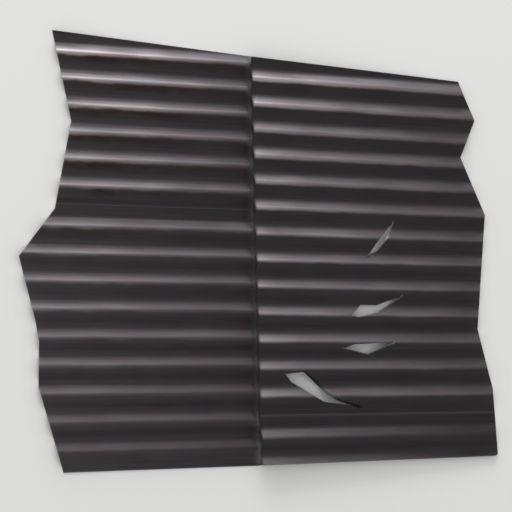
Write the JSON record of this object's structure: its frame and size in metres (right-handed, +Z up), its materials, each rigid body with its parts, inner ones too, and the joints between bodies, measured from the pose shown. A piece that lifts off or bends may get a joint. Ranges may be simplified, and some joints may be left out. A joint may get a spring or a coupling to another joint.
{
  "type": "corrugated metal sheet",
  "caption": "Torn patch of lapped corrugated steel cladding with round waves, ragged outer edges and open tears, lying flat.",
  "frame": {"origin": "centre of the patch's box on the level floor that it lies on", "axes": "+X along the waves, towards the sheets that lie on top; +Y across the waves, up in the picture; +Z up from the floor"},
  "size_m": [1.391, 1.2146, 0.0403],
  "materials": {
    "weathered_steel": "satin"
  },
  "bodies": {
    "root": {"upper_left_sheet": "weathered_steel", "lower_left_sheet": "weathered_steel", "upper_right_sheet": "weathered_steel", "lower_right_sheet": "weathered_steel"}
  },
  "joints": []
}
